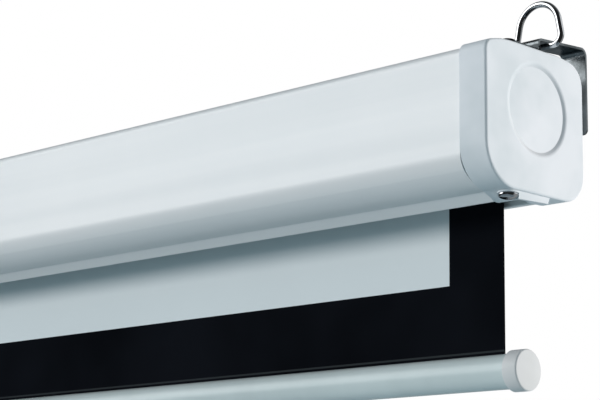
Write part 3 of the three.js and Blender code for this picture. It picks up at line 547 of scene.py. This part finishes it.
# a flat face at x that looks along -X, from points (y, z) in mm
def profileMesh(name, outline, x):
    mesh = bpy.data.meshes.new(name)
    corners = [place(x, y, z) for y, z in outline]
    area = sum(a.y * b.z - b.y * a.z for a, b in zip(corners, corners[1:] + corners[:1]))
    if area < 0:
        corners.reverse()
    mesh.from_pydata(corners, [], [list(range(len(corners)))])
    mesh.update()
    return mesh


def pathMesh(name, points):
    mesh = bpy.data.meshes.new(name)
    mesh.from_pydata(points, [(i, i + 1) for i in range(len(points) - 1)], [])
    mesh.update()
    return mesh


# case: a folded steel profile run along X, from the slot's front lip round to its back lip
caseSizes = {
    "halfLength": 851.3, "wall": 1.5, "arcStep": 2.5, "sharpFrom": 20,
    "corners": [
        (28.6, -71.1), (28.6, -79.1, 0.8), (21.5, -74.25), (11.48, -73.37, 27), (4.4, -66.3),
        (1.25, -62.27, 14), (1.25, -5.05, 5), (12.5, -1.25, 48), (60.0, -1.25, 48),
        (78.25, -3.95, 12.5), (78.25, -73.75, 14.5), (62.0, -73.75, 0.8), (62.0, -67.75),
    ],
}


def makeCase(sizes):
    corners = sizes["corners"]
    outer = roundedPath(corners, sizes["arcStep"])
    inner = roundedPath(offsetCorners(corners, sizes["wall"]), sizes["arcStep"])
    mesh = profileMesh("caseSkin", outer + inner[::-1], -sizes["halfLength"])
    piece = runTree("caseSkin", extrusionTree, mesh, {"Length": 2 * sizes["halfLength"] * millimetre,
                                                      "Finish": caseCoat})
    softEdges(piece.data, sizes["sharpFrom"])
    addModifier(piece, "WEIGHTED_NORMAL", keep_sharp=True)
    settle(piece)
    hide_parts("case_shell")
    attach(piece, "case")


makeCase(caseSizes)
print("case done")

# end caps
for side in ("right", "left"):
    cap = mergedCopy("capSkin_" + side, "end_cap_" + side, capPlastic, degrees=30)
    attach(cap, "case")
print("end caps done")

# hangers and their rings; wire is the wire's radius
ringSizes = {"fromMiddle": 862.3, "y": 51.8, "z": 3.8, "halfWidth": 13.8, "corner": 5.0, "top": 12.6,
             "height": 23.0, "wire": 1.65, "butt": 0.4, "sides": 24, "bendStep": 5, "sharpFrom": 50}


# a D of straight and round runs, with its butt in the middle of the flat side; each arc is a centre
# (u, w) and a radius, and u runs along the flat side
def bentWirePath(sizes, down=False):
    arcs = [(sizes["halfWidth"] - sizes["corner"], sizes["corner"], sizes["corner"]),
            (0, sizes["height"] - sizes["top"], sizes["top"]),
            (sizes["corner"] - sizes["halfWidth"], sizes["corner"], sizes["corner"])]

    def tangent(a, b):
        along = math.atan2(b[1] - a[1], b[0] - a[0])
        span = math.hypot(b[0] - a[0], b[1] - a[1])
        return (along - math.pi / 2 + math.asin((a[2] - b[2]) / span)) % (2 * math.pi)

    turns = [-math.pi / 2, tangent(arcs[0], arcs[1]), tangent(arcs[1], arcs[2]), 1.5 * math.pi]
    flat = [(sizes["butt"] / 2, 0)]
    for i, (u, w, r) in enumerate(arcs):
        steps = math.ceil((turns[i + 1] - turns[i]) / math.radians(sizes["bendStep"]))
        for k in range(steps + 1):
            angle = turns[i] + (turns[i + 1] - turns[i]) * k / steps
            flat.append((u + r * math.cos(angle), w + r * math.sin(angle)))
    flat.append((-sizes["butt"] / 2, 0))
    sign = -1 if down else 1
    return [(u, sign * w) for u, w in flat]


def makeWirePiece(name, sizes, middle, finish, node, body, down=False):
    points = [place(middle + u, sizes["y"], sizes["z"] + w) for u, w in bentWirePath(sizes, down)]
    piece = runTree(name, wireTree, pathMesh(name, points),
                    {"Wire Radius": sizes["wire"] * millimetre, "Sides": sizes["sides"], "Finish": finish})
    piece.data.set_sharp_from_angle(angle=math.radians(sizes["sharpFrom"]))  # only its cut ends
    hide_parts(node)
    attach(piece, body)


for side, sign in (("right", 1), ("left", -1)):
    strap = mergedCopy("strapHanger_" + side, "hanger_bracket_" + side, metals["strapPlate"],
                       degrees=24, edge=0.22)
    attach(strap, "case")
    makeWirePiece("hangingLoop_" + side, ringSizes, sign * ringSizes["fromMiddle"],
                  metals["brightPlate"], "hanging_ring_" + side, "ring_" + side)
print("hangers and rings done")

# screws
screwSizes = {"headRadius": 5.1, "rim": 0.78, "headHeight": 3.1, "seat": 0.1, "seatInset": 0.25,
              "seatRise": 0.25, "shankRadius": 2.1, "length": 9.0, "domeStep": 6, "sides": 48,
              "recessLength": 5.0, "recessWidth": 1.05, "recessDepth": 2.0, "recessTaper": 0.6,
              "overrun": 1.0, "edge": 0.12, "bevelFrom": 40, "sharpFrom": 35}


# a block that cuts one arm of the cross recess, narrower at its floor along the arm
def recessBlade(sizes, crosswise):
    halfLength, halfWidth = sizes["recessLength"] / 2, sizes["recessWidth"] / 2
    ends = ((sizes["headHeight"] - sizes["recessDepth"], sizes["recessTaper"]),
            (sizes["headHeight"] + sizes["overrun"], 1))
    form = bmesh.new()
    lower, upper = ([form.verts.new(Vector((sx * halfLength * share, sy * halfWidth, height)) * millimetre)
                     for sx, sy in ((-1, -1), (1, -1), (1, 1), (-1, 1))] for height, share in ends)
    form.faces.new(lower[::-1])
    form.faces.new(upper)
    for i in range(4):
        form.faces.new((lower[i], lower[(i + 1) % 4], upper[(i + 1) % 4], upper[i]))
    if crosswise:
        form.transform(Matrix.Rotation(math.pi / 2, 4, "Z"))
    mesh = bpy.data.meshes.new("recess")
    form.to_mesh(mesh)
    form.free()
    return newPiece("recess", mesh)


# domed head with a cross recess: its seat is at the origin and it looks along +Z
def makeScrewMesh(sizes):
    head, rim, seat = sizes["headRadius"], sizes["rim"], sizes["seat"]
    dome = [(head * math.cos(a), rim + (sizes["headHeight"] - rim) * math.sin(a))
            for a in [math.radians(angle) for angle in range(0, 90, sizes["domeStep"])]]
    profile = [(0, -sizes["length"]), (sizes["shankRadius"], -sizes["length"]), (sizes["shankRadius"], seat),
               (head - sizes["seatInset"], seat), (head, seat + sizes["seatRise"]), *dome,
               (0, sizes["headHeight"])]
    screw = newPiece("screwForm", turnedMesh("screwForm", profile, (0, 0, 0), (0, 0, 1), sizes["sides"]))
    for crosswise in (False, True):
        blade = recessBlade(sizes, crosswise)
        addModifier(screw, "BOOLEAN", operation="DIFFERENCE", object=blade, solver="EXACT")
        settle(screw)
        bpy.data.objects.remove(blade)
    addModifier(screw, "BEVEL", width=sizes["edge"] * millimetre, segments=2, limit_method="ANGLE",
                angle_limit=math.radians(sizes["bevelFrom"]))
    settle(screw)
    softEdges(screw.data, sizes["sharpFrom"])
    return screw


# spots: (point, aim, twist in degrees)
def setScrews(name, form, spots, finish, covered):
    mesh = bpy.data.meshes.new(name)
    mesh.from_pydata([spot[0] for spot in spots], [], [])
    mesh.attributes.new("aim", "FLOAT_VECTOR", "POINT")
    mesh.attributes.new("twist", "FLOAT", "POINT")
    for i, (_, aim, twist) in enumerate(spots):
        mesh.attributes["aim"].data[i].vector = aim
        mesh.attributes["twist"].data[i].value = math.radians(twist)
    piece = runTree(name, screwTree, mesh, {"Screw": form, "Finish": finish})
    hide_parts(*covered)
    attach(piece, "case")


screwForm = makeScrewMesh(screwSizes)
screwTwists = {1: 55, -1: 12}  # degrees, right and left
screwRows = {
    "skirt": {"spot": (862.7, 24.3, -76.2), "aim": (0, 0, -1), "metal": "brightPlate", "slot": "chrome"},
    "strap": {"spot": (859.2, 29.5, 1.3), "aim": (0, 0, 1), "metal": "darkSteel", "slot": "dark_screw"},
}
for where, row in screwRows.items():
    x, y, z = row["spot"]
    setScrews(where + "Screws", screwForm,
              [(place(sign * x, y, z), row["aim"], twist) for sign, twist in screwTwists.items()],
              metals[row["metal"]], [where + "_screw_right", where + "_screw_left"])
bpy.data.objects.remove(screwForm)
print("screws done")

# weight bar, its caps and its handle
barSizes = {"y": 58.225, "z": -159.2, "radius": 9.0, "wall": 1.2, "slot": 2.6, "halfLength": 846.3,
            "arcPoints": 96, "sharpFrom": 20}
barCapSizes = {"face": 848.2, "radius": 10.65, "length": 9.1, "floor": 1.6, "fillet": 1.0,
               "filletStep": 15, "spigot": 8.0, "fit": 0.15, "mouth": 0.3, "chamfer": 0.35, "sides": 96,
               "sharpFrom": 32}
handleSizes = {"fromMiddle": 0.0, "y": 58.225, "z": -172.55, "halfWidth": 30.0, "corner": 9.0,
               "top": 26.0, "height": 44.0, "wire": 2.0, "butt": 0.6, "sides": 24, "bendStep": 5,
               "sharpFrom": 50}


# a round tube with a slot along its top
def makeBar(sizes):
    def arc(radius):
        opening = math.asin(sizes["slot"] / 2 / radius)
        start = math.pi / 2 + opening
        sweep = 2 * math.pi - 2 * opening
        angles = [start + sweep * k / sizes["arcPoints"] for k in range(sizes["arcPoints"] + 1)]
        return [(sizes["y"] + radius * math.cos(a), sizes["z"] + radius * math.sin(a)) for a in angles]

    outline = arc(sizes["radius"]) + arc(sizes["radius"] - sizes["wall"])[::-1]
    mesh = profileMesh("barTube", outline, -sizes["halfLength"])
    piece = runTree("barTube", extrusionTree, mesh, {"Length": 2 * sizes["halfLength"] * millimetre,
                                                     "Finish": plastics["barCoat"]})
    softEdges(piece.data, sizes["sharpFrom"])
    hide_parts("weight_bar")
    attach(piece, "screen")


# a cup over the bar's end, with a spigot inside it; heights run back from its face
def makeBarCap(sizes, bar, side, sign):
    radius, fillet = sizes["radius"], sizes["fillet"]
    rounded = [(radius - fillet * (1 - math.cos(a)), -fillet * (1 - math.sin(a)))
               for a in [math.radians(angle) for angle in range(0, 91, sizes["filletStep"])]]
    spigot = bar["radius"] - bar["wall"] - sizes["fit"]
    bore = bar["radius"] + sizes["fit"]
    floor, tip, end = -sizes["floor"], -sizes["floor"] - sizes["spigot"], -sizes["length"]
    mouth, chamfer = sizes["mouth"], sizes["chamfer"]
    profile = [(0, tip), (spigot, tip), (spigot, floor), (bore, floor), (bore, end + mouth),
               (bore + mouth, end), (radius - chamfer, end), (radius, end + chamfer), *rounded, (0, 0)]
    mesh = turnedMesh("barStopper_" + side, profile, place(sign * sizes["face"], bar["y"], bar["z"]),
                      (sign, 0, 0), sizes["sides"])
    softEdges(mesh, sizes["sharpFrom"])
    piece = newPiece("barStopper_" + side, mesh, plastics["barCapPlastic"])
    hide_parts("bar_cap_" + side)
    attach(piece, "screen")


makeBar(barSizes)
for side, sign in (("right", 1), ("left", -1)):
    makeBarCap(barCapSizes, barSizes, side, sign)
makeWirePiece("handleLoop", handleSizes, handleSizes["fromMiddle"], metals["brightPlate"], "pull_handle",
              "handle", down=True)
clip = mergedCopy("handleSaddle", "handle_clip", metals["zincSheet"], degrees=24, edge=0.2)
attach(clip, "screen")
print("weight bar done")

# screen cloth: wound on the roller, then straight down into the bar
clothSizes = {"halfWidth": 833.4, "halfPicture": 797.0, "column": 400, "rollerY": 38.3, "rollerZ": -32.5,
              "hangY": 58.225, "innerRadius": 15.75, "thickness": 0.43, "wallShare": 0.9,
              "turnSteps": 40, "blendTop": -54.0, "upperBorderEnd": -62.8, "lowerBorderTop": -111.8,
              "end": -151.4, "upperSteps": 6, "pictureSteps": 24, "lowerSteps": 8, "sharpFrom": 40}


# the cloth's side view (y, z) from the inner end on the roller, and the count of its wound steps
def clothLine(sizes):
    reach = sizes["hangY"] - sizes["rollerY"]
    steps = int((reach - sizes["innerRadius"]) / sizes["thickness"] * sizes["turnSteps"])
    line = []
    for k in range(steps, 0, -1):
        angle = 2 * math.pi * k / sizes["turnSteps"]
        radius = reach - sizes["thickness"] * k / sizes["turnSteps"]
        line.append((sizes["rollerY"] + radius * math.cos(angle),
                     sizes["rollerZ"] + radius * math.sin(angle)))
    drops = [sizes["rollerZ"]]
    for top, low, count in (("blendTop", "upperBorderEnd", sizes["upperSteps"]),
                            ("upperBorderEnd", "lowerBorderTop", sizes["pictureSteps"]),
                            ("lowerBorderTop", "end", sizes["lowerSteps"])):
        drops += [sizes[top] + (sizes[low] - sizes[top]) * k / count for k in range(count)]
    return line + [(sizes["hangY"], z) for z in drops + [sizes["end"]]], steps


def makeScreen(sizes):
    line, woundSteps = clothLine(sizes)
    lengths = [0.0]
    for a, b in zip(line, line[1:]):
        lengths.append(lengths[-1] + math.hypot(b[0] - a[0], b[1] - a[1]))
    rightHalf = [sizes["column"], sizes["halfPicture"], sizes["halfWidth"]]
    across = [-x for x in reversed(rightHalf)] + [0] + rightHalf
    form = bmesh.new()
    uv = form.loops.layers.uv.new("cloth")
    grid = [[form.verts.new(place(x, y, z)) for x in across] for y, z in line]
    for r in range(len(line) - 1):
        middle = (line[r][1] + line[r + 1][1]) / 2
        hanging = r >= woundSteps
        black = hanging and (middle < sizes["lowerBorderTop"] or middle > sizes["upperBorderEnd"])
        for c in range(len(across) - 1):
            corners = [(r, c), (r + 1, c), (r + 1, c + 1), (r, c + 1)]
            face = form.faces.new([grid[i][j] for i, j in corners])
            face.material_index = 1 if black or c in (0, len(across) - 2) else 0
            face.smooth = True
            for loop, (i, j) in zip(face.loops, corners):
                loop[uv].uv = (across[j] * millimetre, lengths[i] * millimetre)
    mesh = bpy.data.meshes.new("screenCloth")
    form.to_mesh(mesh)
    form.free()
    total = lengths[-1] * millimetre
    piece = newPiece("screenCloth", mesh,
                     *(makeCloth(name, look, weaveLook, total if name == "blackEdge" else None)
                       for name, look in clothLooks.items()))
    addModifier(piece, "SOLIDIFY", thickness=sizes["thickness"] * sizes["wallShare"] * millimetre, offset=0,
                material_offset=2, material_offset_rim=1)
    settle(piece)
    piece.data.set_sharp_from_angle(angle=math.radians(sizes["sharpFrom"]))
    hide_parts("screen_fabric", "fabric_roll")
    tuple(place(0, sizes["hangY"], sizes["blendTop"]))
    tuple(place(0, sizes["hangY"], sizes["lowerBorderTop"]))
    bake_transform(piece)
    print("screen cloth", round(total, 3), "m long")


makeScreen(clothSizes)

# finishes of the CAD solids that are used as they are
solidFinishes = {
    "drawnTube": ("roller_tube", "hem_rod"),
    "springWire": ("spindle", "torsion_spring", "idle_pin", "pawl_pin_upper", "pawl_pin_lower"),
    "zincSheet": ("ratchet_wheel", "pawl_upper", "pawl_lower", "roller_bracket_right",
                  "roller_bracket_left"),
    "nylonPlastic": ("drive_plug", "idle_plug", "idle_bush", "spring_hub"),
}
for finish, names in solidFinishes.items():
    for name in names:
        nodes[name].data.materials.clear()
        nodes[name].data.materials.append({**metals, **plastics}[finish])
print("solids finished")

# floor, world and lights. What polished pieces mirror is set apart from what lights the others:
# bright to the left and behind, dim where the camera stands.
stageSizes = {"floorDrop": 2.1, "floorHalf": 1.9, "colour": (204, 206, 207), "drift": (194, 196, 198),
              "cloud": (3, 3, 0.5), "roughness": 0.8}
worldLook = {"fillHigh": (0.2, 0.28, 0.33), "fillLow": (0.55, 0.79, 0.89), "fillTilt": (-0.5, 0.5),
             "cameraSide": (0.69, -0.70, -0.12), "fillSide": (0.0, 0.8, 0.4),
             "softbox": (-0.6, -0.78, 0.38), "mirrorBox": (0.84, 0.98, 4.1),
             "mirrorSide": (0.1, 0.45, 0.0), "mirrorBehind": (-0.8, -0.35, 0.22),
             "mirrorLow": (-0.08, 0.22, 0.0), "mirrorHigh": (0.55, 0.8, 0.04),
             "mirrorBack": (0.15, 0.6, 0.32), "mirrorLeast": 0.02}
lamps = {
    "leftFront": {"heading": (-0.6, -0.78, 0.12), "spread": 20, "strength": 1.75,
                  "colour": (1.05, 1.0, 0.98)},
    "rightBack": {"heading": (0.77, 0.64, -0.04), "spread": 24, "strength": 3.15,
                  "colour": (1.0, 0.92, 0.88)},
}


def makeStage(sizes):
    form = bmesh.new()
    half = sizes["floorHalf"]
    form.faces.new([form.verts.new((x, y, -sizes["floorDrop"])) for x, y in
                    ((-half, -half), (half, -half), (half, half), (-half, half))])
    mesh = bpy.data.meshes.new("paleFloor")
    form.to_mesh(mesh)
    form.free()
    finish = Finish("paleFloor", Roughness=sizes["roughness"])
    finish.feed("Base Color", finish.blend(finish.noise(sizes["cloud"]), linear(*sizes["colour"]),
                                           linear(*sizes["drift"])))
    newPiece("paleFloor", mesh, finish.material)


def makeWorld(look):
    world = bpy.data.worlds.new("studio")
    bpy.context.scene.world = world
    world.use_nodes = True
    tree = world.node_tree
    tree.nodes.clear()
    out = tree.nodes.new("ShaderNodeOutputWorld")
    rays = tree.nodes.new("ShaderNodeLightPath")
    heading = tree.nodes.new("ShaderNodeTexCoord").outputs["Generated"]

    def towards(aim):
        facing = tree.nodes.new("ShaderNodeVectorMath")
        facing.operation = "DOT_PRODUCT"
        tree.links.new(heading, facing.inputs[0])
        facing.inputs[1].default_value = Vector(aim).normalized()
        return facing.outputs["Value"]

    parts = tree.nodes.new("ShaderNodeSeparateXYZ")
    tree.links.new(heading, parts.inputs[0])

    def ramp(value, low, high, newLow, newHigh):
        share = tree.nodes.new("ShaderNodeMapRange")
        share.interpolation_type = "SMOOTHSTEP"
        tree.links.new(value, share.inputs["Value"])
        for key, number in (("From Min", low), ("From Max", high), ("To Min", newLow), ("To Max", newHigh)):
            share.inputs[key].default_value = number
        return share.outputs[0]

    def sums(operation, first, second):
        made = tree.nodes.new("ShaderNodeMath")
        made.operation = operation
        for index, value in enumerate((first, second)):
            if isinstance(value, float):
                made.inputs[index].default_value = value
            else:
                tree.links.new(value, made.inputs[index])
        return made.outputs[0]

    def glow(colour, strength):
        lit = tree.nodes.new("ShaderNodeBackground")
        if isinstance(colour, tuple):
            lit.inputs["Color"].default_value = (*colour, 1)
        else:
            tree.links.new(colour, lit.inputs["Color"])
        if isinstance(strength, float):
            lit.inputs["Strength"].default_value = strength
        else:
            tree.links.new(strength, lit.inputs["Strength"])
        return lit.outputs[0]

    def mix(share, first, second):
        mixed = tree.nodes.new("ShaderNodeMixShader")
        for index, socket in enumerate((share, first, second)):
            tree.links.new(socket, mixed.inputs[index])
        return mixed.outputs[0]

    tint = tree.nodes.new("ShaderNodeMix")
    tint.data_type = "RGBA"
    low, high = look["fillTilt"]
    tree.links.new(ramp(parts.outputs["Z"], low, high, 0.0, 1.0), tint.inputs[0])
    tint.inputs[6].default_value = (*look["fillLow"], 1)
    tint.inputs[7].default_value = (*look["fillHigh"], 1)
    near, far, least = look["fillSide"]
    fill = glow(tint.outputs[2], ramp(towards(look["cameraSide"]), near, far, 1.0, least))
    near, far, least = look["mirrorSide"]
    bright = ramp(towards(look["cameraSide"]), near, far, 1.0, least)
    far, near, most = look["mirrorBox"]
    bright = sums("MULTIPLY", bright, ramp(towards(look["softbox"]), far, near, 1.0, most))
    near, far, least = look["mirrorBehind"]
    bright = sums("MULTIPLY", bright, ramp(towards(look["cameraSide"]), near, far, least, 1.0))
    low, high, least = look["mirrorLow"]
    bright = sums("MULTIPLY", bright, ramp(parts.outputs["Z"], low, high, least, 1.0))
    low, high, least = look["mirrorHigh"]
    bright = sums("MULTIPLY", bright, ramp(parts.outputs["Z"], low, high, 1.0, least))
    low, high, most = look["mirrorBack"]
    bright = sums("MAXIMUM", bright, ramp(parts.outputs["Y"], low, high, 0.0, most))
    white = (1, 1, 1)
    mirrored = glow(white, sums("ADD", bright, look["mirrorLeast"]))
    shown = mix(rays.outputs["Is Glossy Ray"], fill, mirrored)
    for ray in ("Is Camera Ray", "Is Transmission Ray"):
        shown = mix(rays.outputs[ray], shown, glow(white, 1.0))
    tree.links.new(shown, out.inputs["Surface"])


def makeLamp(name, settings):
    data = bpy.data.lights.new(name, "SUN")
    data.energy = settings["strength"]
    data.angle = math.radians(settings["spread"])
    data.color = settings["colour"]
    lamp = bpy.data.objects.new(name, data)
    lamp.rotation_euler = Vector(settings["heading"]).to_track_quat("Z", "Y").to_euler()
    lamp.visible_glossy = False
    bpy.context.scene.collection.objects.link(lamp)


makeStage(stageSizes)
makeWorld(worldLook)
for name, settings in lamps.items():
    makeLamp(name, settings)
bpy.context.scene.view_settings.view_transform = "Standard"
print("stage and lights done")
